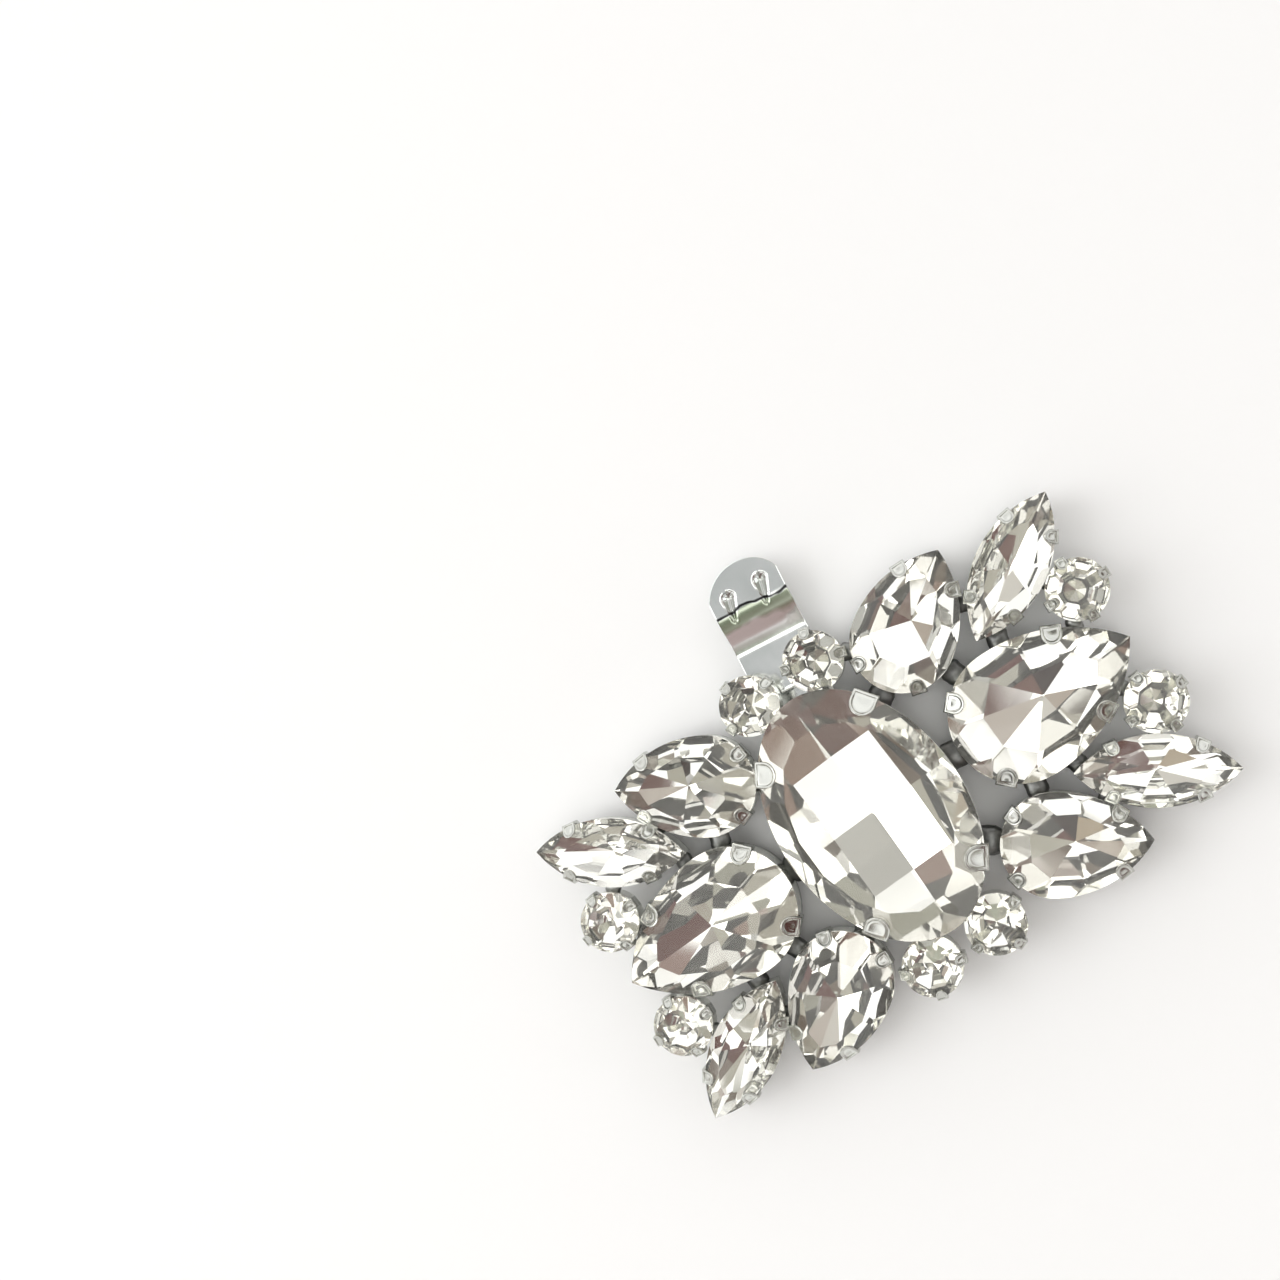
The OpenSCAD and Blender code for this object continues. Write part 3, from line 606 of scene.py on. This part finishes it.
def claw_tree():
    """Sets copies of one claw at given points, each turned to face out of its stone."""
    tree = bpy.data.node_groups.new("claws_round_stones", "GeometryNodeTree")
    face = tree.interface
    face.new_socket("Points", in_out="INPUT", socket_type="NodeSocketGeometry")
    face.new_socket("Claw", in_out="INPUT", socket_type="NodeSocketObject")
    face.new_socket("Size", in_out="INPUT", socket_type="NodeSocketFloat").default_value = 1.0
    face.new_socket("Metal", in_out="INPUT", socket_type="NodeSocketMaterial")
    face.new_socket("Claws", in_out="OUTPUT", socket_type="NodeSocketGeometry")
    n, link = tree.nodes, tree.links.new
    start, end = n.new("NodeGroupInput"), n.new("NodeGroupOutput")
    info = n.new("GeometryNodeObjectInfo")
    link(start.outputs["Claw"], info.inputs["Object"])
    turn = n.new("GeometryNodeInputNamedAttribute")
    turn.data_type = "FLOAT_VECTOR"
    turn.inputs["Name"].default_value = "turn"
    place = n.new("GeometryNodeInstanceOnPoints")
    link(start.outputs["Points"], place.inputs["Points"])
    link(info.outputs["Geometry"], place.inputs["Instance"])
    link(turn.outputs["Attribute"], place.inputs["Rotation"])
    size = n.new("ShaderNodeCombineXYZ")
    for axis in "XYZ":
        link(start.outputs["Size"], size.inputs[axis])
    link(size.outputs[0], place.inputs["Scale"])
    real = n.new("GeometryNodeRealizeInstances")
    link(place.outputs["Instances"], real.inputs[0])
    paint = n.new("GeometryNodeSetMaterial")
    link(real.outputs[0], paint.inputs["Geometry"])
    link(start.outputs["Metal"], paint.inputs["Material"])
    link(paint.outputs[0], end.inputs[0])
    return tree


def folded_claws():
    """All the claws, one blank for each cut and place, copied round its stones."""
    tree = claw_tree()
    sockets = {i.name: i.identifier for i in tree.interface.items_tree if i.in_out == "INPUT"}
    groups = {}
    for name in NAMES:
        kind = STONES[name][0]
        for p in CUTS[kind][PLACES]:
            groups.setdefault((kind, abs(p)), []).append((name, p))
    rows = []
    for (kind, place), spots in groups.items():
        cut = CUTS[kind]
        blank, az = claw_blank(cut, place)
        at, turns = [], []
        for name, p in spots:
            face = az if p >= 0 else -az
            edge = edge_point(cut, face)
            at.append(stone_place(name) @ Vector((edge.x * MM, edge.y * MM, 0)))
            turns.append((0.0, 0.0, math.radians(STONES[name][3] + face)))
        mesh = bpy.data.meshes.new("claw_points")
        mesh.from_pydata(at, [], [])
        attribute = mesh.attributes.new("turn", "FLOAT_VECTOR", "POINT")
        for i, turn in enumerate(turns):
            attribute.data[i].vector = turn
        points = new_object("claw_points", mesh)
        mod = points.modifiers.new("claws", "NODES")
        mod.node_group = tree
        mod[sockets["Claw"]] = blank
        mod[sockets["Size"]] = 1.0
        mod[sockets["Metal"]] = CLAW
        rows.append(plain_mesh(points, "claw_row"))
        bpy.data.objects.remove(blank)
    return join_meshes(rows, "folded_claws", CLAW, 50)


def solder_lumps():
    """Run solder between neighbouring cups, drawn in where it cooled."""
    bm = bmesh.new()
    for k, pair in enumerate(SOLDERED):
        names = [NAMES[i] for i in pair]
        cuts = [stone_cut(name) for name in names]
        sides = [[stone_place(name) @ Vector((p.x * MM, p.y * MM, 0))
                  for p in outline(cut, -cut[LIP])] for name, cut in zip(names, cuts)]
        near, a, b = min(((p - q).length, p, q) for p in sides[0] for q in sides[1])
        along = (b - a).normalized() if near > 1e-6 else Vector((1, 0, 0))
        across = Vector((-along.y, along.x, 0))
        turn = Matrix((along, across, Vector((0, 0, 1)))).transposed().to_4x4()
        size = Matrix.Diagonal((near / 2 + LUMP_ALONG * MM, near / 2 + LUMP_ACROSS * MM,
                                LUMP_HIGH * MM, 1))
        low = max(cut[BACK] for cut in cuts) + FLOOR
        made = bmesh.ops.create_icosphere(bm, subdivisions=3, radius=1.0)
        for v in made["verts"]:
            n = v.co.normalized()
            waist = 1 - LUMP_WAIST * math.exp(-(n.x / WAIST_WIDE) ** 2)
            uneven = noise.noise(n * UNEVEN_GRAIN + Vector((k * UNEVEN_SHIFT, 0, 0)))
            v.co = n * (1 + LUMP_UNEVEN * uneven)
            v.co.y *= waist
        up = Matrix.Translation((a + b) / 2 + Vector((0, 0, (low + LUMP_Z) * MM)))
        bmesh.ops.transform(bm, matrix=up @ turn @ size, verts=made["verts"])
    return new_piece("solder_lumps", bm, (SOLDER,), sharp=80)


# ---------------------------------------------------------------- clip
SHEET, CURL_R, AXIS_Z, PIN_HOLE = 0.5, 0.85, 0.87, 0.43
PLATE_W, PLATE_SIDE, PLATE_BACK, CURL_W = 11.0, 1.7, 9.0, 6.6
PLATE_STEPS, CURL_STEPS, CURL_ANGLE, NECK_OVERLAP = 32, 44, 325, 0.35
# The plate's end where the roll starts and where it comes back: distance before the hinge, height
ROLL_UNDER, ROLL_OVER = ((1.6, 0.0), (0.8, 0.005)), ((0.45, 0.47), (0.9, SHEET))

FLANGE_LEN, FLANGE_IN, FLANGE_DOWN, TOP_STEPS, CHEEK_STEPS = 5.0, 0.18, 0.1, 9, 20
LEVER_W, LEVER_LEN, LEVER_TIP, LEVER_ROOT, LEVER_RISE = 8.0, 13.3, 2.6, 1.05, 1.3
BAND_START, BAND_LEN, GRIP_SKEW = 4.2, 4.8, math.tan(math.radians(4))
TIP_R = (LEVER_W ** 2 / 4 + LEVER_TIP ** 2) / (2 * LEVER_TIP)
TIP_JOIN = 0.02
# Rows of the lever's sheet: root, bend, grip and rounded end, and columns on each side
ROOT_ROWS, BEND_ROWS, GRIP_ROWS, TIP_ROWS, HALF_COLUMNS = 10, 40, 26, 24, 40

# Pressed teeth: distance between them, place, and the groove that runs back to the bend
TOOTH_GAP, TOOTH_Y, GROOVE_LEN, GROOVE_LEAN = 3.8, 10.4, 2.2, 0.35
TOOTH_WIDE, TOOTH_NARROWING, TOOTH_FRONT, GROOVE_END = 0.86, 0.46, 0.8, 0.4
TOOTH_DEEP, TOOTH_RISING, TOOTH_STEEP = 0.85, 0.60, 1.3

CLIP_PLACE = (Matrix.Translation((CLIP_X * MM, 0, 0))
              @ Matrix.Rotation(math.radians(CLIP_TURN), 4, "Z"))


def clip_plate():
    """Plate under the centre cup, with its end rolled round the hinge pin."""
    bm = bmesh.new()
    r, back = PLATE_W / 2, PLATE_BACK - PLATE_W / 2
    neck, side = HINGE_Y - FLANGE_LEN - 1, CURL_W / 2
    shape = []
    for i in range(PLATE_STEPS + 1):
        a = math.pi * i / PLATE_STEPS
        shape.append((PLATE_SIDE - r * math.cos(a), -back - r * math.sin(a)))
    shape += [(PLATE_SIDE + r, neck), (side, neck), (side, neck + NECK_OVERLAP),
              (-side, neck + NECK_OVERLAP), (-side, neck), (PLATE_SIDE - r, neck)]
    prism(bm, shape, "Z", 0.0, SHEET)
    outer, inner = [], []
    for i in range(CURL_STEPS + 1):
        a = math.radians(-90 + CURL_ANGLE * i / CURL_STEPS)
        for wall, radius in ((outer, CURL_R), (inner, PIN_HOLE)):
            wall.append((HINGE_Y + radius * math.cos(a), AXIS_Z + radius * math.sin(a)))
    rolled = [(neck, SHEET), (neck, 0.0)] + [(HINGE_Y - y, z) for y, z in ROLL_UNDER] + outer
    rolled += list(reversed(inner)) + [(HINGE_Y - y, z) for y, z in ROLL_OVER]
    prism(bm, rolled, "X", -side, CURL_W)
    face_outwards(bm)
    set_down(bm, CLIP_PLACE)
    raw = round_edges(new_piece("clip_plate_raw", bm, (CLIP,)), 0.07)
    done = plain_mesh(raw, "clip_plate")
    shade_smooth(done.data, 35)
    return done


def lever_z(y):
    """Height of the sheet's underside over the hinge's axis."""
    t = min(1.0, max(0.0, (y - BAND_START) / BAND_LEN))
    return LEVER_ROOT + LEVER_RISE * (1 - math.cos(math.pi * t)) / 2


def tooth_dent(x, y):
    """How far the sheet is pressed down: a steep round hollow with a groove back to the bend."""
    deep = 0.0
    for side in (-1, 1):
        v = y - TOOTH_Y - side * TOOTH_GAP / 2 * GRIP_SKEW
        back = min(1.0, max(0.0, -v / GROOVE_LEN))
        u = x - side * TOOTH_GAP / 2 + GROOVE_LEAN * back
        wide = TOOTH_WIDE - TOOTH_NARROWING * back
        behind = v / TOOTH_FRONT if v > 0 else max(0.0, -v - GROOVE_LEN) / GROOVE_END
        r = math.hypot(u / wide, behind)
        if r < 1:
            deep = max(deep, (TOOTH_DEEP - TOOTH_RISING * back) * (1 - r * r) ** TOOTH_STEEP)
    return deep


def lever_sheet():
    """The lever's sheet, with its bend, teeth and rounded end, still at the hinge's axis."""
    half = LEVER_W / 2
    xs = [half * (j / HALF_COLUMNS - 1) for j in range(2 * HALF_COLUMNS + 1)]
    flat = BAND_START + BAND_LEN
    last = LEVER_LEN - LEVER_TIP - half * GRIP_SKEW - TIP_JOIN
    ys = [-CURL_R + (BAND_START + CURL_R) * i / ROOT_ROWS for i in range(ROOT_ROWS)]
    ys += [BAND_START + BAND_LEN * i / BEND_ROWS for i in range(BEND_ROWS)]
    ys += [flat + (last - flat) * i / GRIP_ROWS for i in range(GRIP_ROWS + 1)]
    rows = [[(x, y) for x in xs] for y in ys]
    ends = [LEVER_LEN - TIP_R + math.sqrt(TIP_R ** 2 - x * x) + x * GRIP_SKEW for x in xs]
    rows += [[(x, last + (end - last) * i / TIP_ROWS) for x, end in zip(xs, ends)]
             for i in range(1, TIP_ROWS + 1)]
    bm = bmesh.new()
    grid = [[bm.verts.new((x, y, lever_z(y) + SHEET / 2 - tooth_dent(x, y))) for x, y in row]
            for row in rows]
    for a, b in zip(grid, grid[1:]):
        for j in range(len(xs) - 1):
            bm.faces.new((a[j], a[j + 1], b[j + 1], b[j]))
    set_down(bm, Matrix())
    sheet = new_piece("lever_sheet", bm, (LEVER,))
    thick = sheet.modifiers.new("thickness", "SOLIDIFY")
    thick.thickness, thick.offset, thick.use_even_offset = SHEET * MM, 0.0, True
    return plain_mesh(round_edges(sheet, 0.08, 60), "lever_sheet")


def lever_flanges():
    """The two cheeks that hang from the sheet and hold the pin, at the hinge's axis."""
    bm = bmesh.new()
    half, r, inside = LEVER_W / 2, CURL_R - FLANGE_IN, SHEET / 2
    tip = lever_z(FLANGE_LEN)
    profile = [(FLANGE_LEN, tip - FLANGE_DOWN), (FLANGE_LEN, tip + inside)]
    for i in range(TOP_STEPS - 1, -1, -1):
        y = BAND_START + (FLANGE_LEN - BAND_START) * i / TOP_STEPS
        profile.append((y, lever_z(y) + inside))
    profile.append((-r, LEVER_ROOT + inside))
    for i in range(CHEEK_STEPS - 1):
        a = math.pi + math.pi * i / CHEEK_STEPS
        profile.append((r * math.cos(a), r * math.sin(a)))
    for x in (-half, half - SHEET):
        prism(bm, profile, "X", x, SHEET)
    face_outwards(bm)
    set_down(bm, Matrix())
    return plain_mesh(round_edges(new_piece("flanges_raw", bm, (LEVER,)), 0.07), "lever_flanges")


def lever():
    """The swinging lever: sheet with a raised rounded grip, two pressed teeth and side flanges."""
    piece = join_meshes([lever_sheet(), lever_flanges()], "toothed_lever", LEVER, 35)
    piece.data.transform(CLIP_PLACE @ Matrix.Translation((0, HINGE_Y * MM, AXIS_Z * MM)))
    return piece


for stone_name in NAMES:
    cut_stone(stone_name)

for part in (stamped_cups(), folded_claws(), solder_lumps(), clip_plate()):
    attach(part, "ornament")
    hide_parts("settings")

swinging = lever()
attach(swinging, "lever")
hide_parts("lever")

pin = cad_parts["hinge_pin"]
pin.data.materials.clear()
pin.data.materials.append(CLIP)


# ---------------------------------------------------------------- table, light and camera
TABLE_HALF = 3.0


def pale_table():
    """The floor that the clip lies on, wide enough to reach past every view."""
    bm = bmesh.new()
    bmesh.ops.create_grid(bm, x_segments=1, y_segments=1, size=TABLE_HALF)
    floor = new_piece("pale_table", bm, (table_finish(),))


# What the stones and the clip mirror round a pale studio: azimuth, elevation and reach in
# degrees, share of the patches, and colour
ROOM = [
    (0, 90, 22, 1.0, (2.3, 2.3, 2.24, 1)),          # window in the roof
    (0, 37, 10, 0.9, (0.50, 0.44, 0.40, 1)),        # doorway
    (39, 58, 18, 1.0, (0.46, 0.45, 0.425, 1)),      # grey beam under the ceiling
    (70, 74, 9, 1.0, (0.48, 0.47, 0.43, 1)),        # its middle
    (100, 50, 12, 1.0, (0.38, 0.38, 0.33, 1)),      # its far end
    (43, 44, 4, 1.0, (0.28, 0.18, 0.155, 1)),       # small dark frame
    (82, 32, 12, 1.0, (0.62, 0.59, 0.55, 1)),       # cupboard
    (124, 27, 9, 0.7, (0.42, 0.35, 0.30, 1)),       # its shady side
    (210, 20, 9, 1.0, (0.42, 0.34, 0.25, 1)),       # wooden shelf
    (224, 60, 14, 0.85, (0.45, 0.43, 0.38, 1)),     # blind
    (246, 48, 6, 1.0, (0.56, 0.46, 0.44, 1)),       # edge of a mauve curtain
    (264, 50, 9, 1.0, (0.28, 0.18, 0.145, 1)),      # its first fold
    (273, 36, 14, 0.9, (0.135, 0.058, 0.045, 1)),   # its middle
    (297, 34, 19, 0.9, (0.11, 0.040, 0.033, 1)),    # its darker part
    (306, 60, 8, 1.0, (0.10, 0.040, 0.033, 1)),     # its top
    (327, 35, 8, 1.0, (0.22, 0.18, 0.16, 1)),       # wall in its shade
    (235, 24, 8, 1.0, (0.02, 0.005, 0.004, 1)),     # deep fold
    (282, 8, 18, 0.85, (0.11, 0.035, 0.03, 1)),     # dark hem
    (134, 80, 10, 1.0, (0.52, 0.53, 0.53, 1)),      # darker ceiling over the clip
    (230, 70, 6, 1.0, (0.36, 0.385, 0.31, 1)),      # blind's box
    (330, 74, 6, 1.0, (0.22, 0.19, 0.16, 1)),       # curtain rail
]
ROOM_EDGE = 3.0                                     # how sharply a zone ends
PALE_WALLS = gray(1.10), gray(1.70)
PATCH_SCALE = 4.2
# Share of the patches below which a patch has this colour
PATCHES = [(0.20, (0.42, 0.40, 0.34, 1)), (0.09, (0.13, 0.095, 0.07, 1))]


def studio_sky():
    """Soft pale room light, broken into the patches that cut stones mirror."""
    f = Finish(bpy.data.worlds.new("studio"))
    bpy.context.scene.world = f.owner
    way = f.node("ShaderNodeVectorMath", {"operation": "NORMALIZE"},
                 i0=f.node("ShaderNodeTexCoord").outputs["Generated"]).outputs[0]
    patch = f.node("ShaderNodeTexVoronoi", Vector=way, Scale=PATCH_SCALE, Randomness=1.0)
    split = f.node("ShaderNodeSeparateColor", Color=patch.outputs["Color"])
    chance = Sock(f, split.outputs[0])
    color = f.blend(chance, *PALE_WALLS)
    for share, tone in PATCHES:
        color = f.blend(chance.under(share), color, tone)
    for az, el, wide, share, tone in ROOM:
        a, e, rim = math.radians(az), math.radians(el), math.cos(math.radians(wide))
        middle = (math.cos(a) * math.cos(e), math.sin(a) * math.cos(e), math.sin(e))
        near = ((f.dot(way, middle) - rim) * (ROOM_EDGE / (1.0 - rim))).clamp()
        color = f.blend(near * chance.under(share), color, tone)
    seen = f.node("ShaderNodeLightPath").outputs["Is Camera Ray"]
    sky = f.node("ShaderNodeBackground", Color=f.blend(seen, color, gray(1.0)), Strength=1.0)
    f.node("ShaderNodeOutputWorld", Surface=sky.outputs[0])


def soft_light(name, at, size, power):
    """A round soft light, aimed at the object."""
    lamp = bpy.data.lights.new(name, "AREA")
    lamp.shape, lamp.size, lamp.energy = "DISK", size, power
    obj = new_object(name, lamp)
    obj.location = at
    obj.rotation_euler = (-Vector(at)).to_track_quat("-Z", "Y").to_euler()


def photo_camera():
    """The photograph's viewpoint, solved from the pattern of the stones."""
    right = Vector((0.797409, -0.577465, -0.175135))
    down = Vector((-0.577632, -0.81442, 0.055332))
    ahead = Vector((-0.174585, 0.057041, -0.982988))
    stands = Vector((20.42, 7.46, 150.23)) * MM
    focal, middle, wide = 1453.7, (740.0, 716.0), 1280.0
    cam = bpy.data.cameras.new("camera")
    cam.sensor_width, cam.lens = 36.0, 36.0 * focal / wide
    cam.shift_x = (wide / 2 - middle[0]) / wide
    cam.shift_y = (middle[1] - wide / 2) / wide
    cam.clip_start, cam.clip_end = 0.005, 20.0
    obj = new_object("camera", cam)
    turn = Matrix((right, -down, -ahead)).transposed()
    obj.matrix_world = Matrix.Translation(stands) @ turn.to_4x4()
    bpy.context.scene.camera = obj


pale_table()
studio_sky()
soft_light("soft_key", (-0.42, 0.26, 0.46), 0.50, 1.1)
photo_camera()
bpy.context.scene.view_settings.view_transform = "Standard"
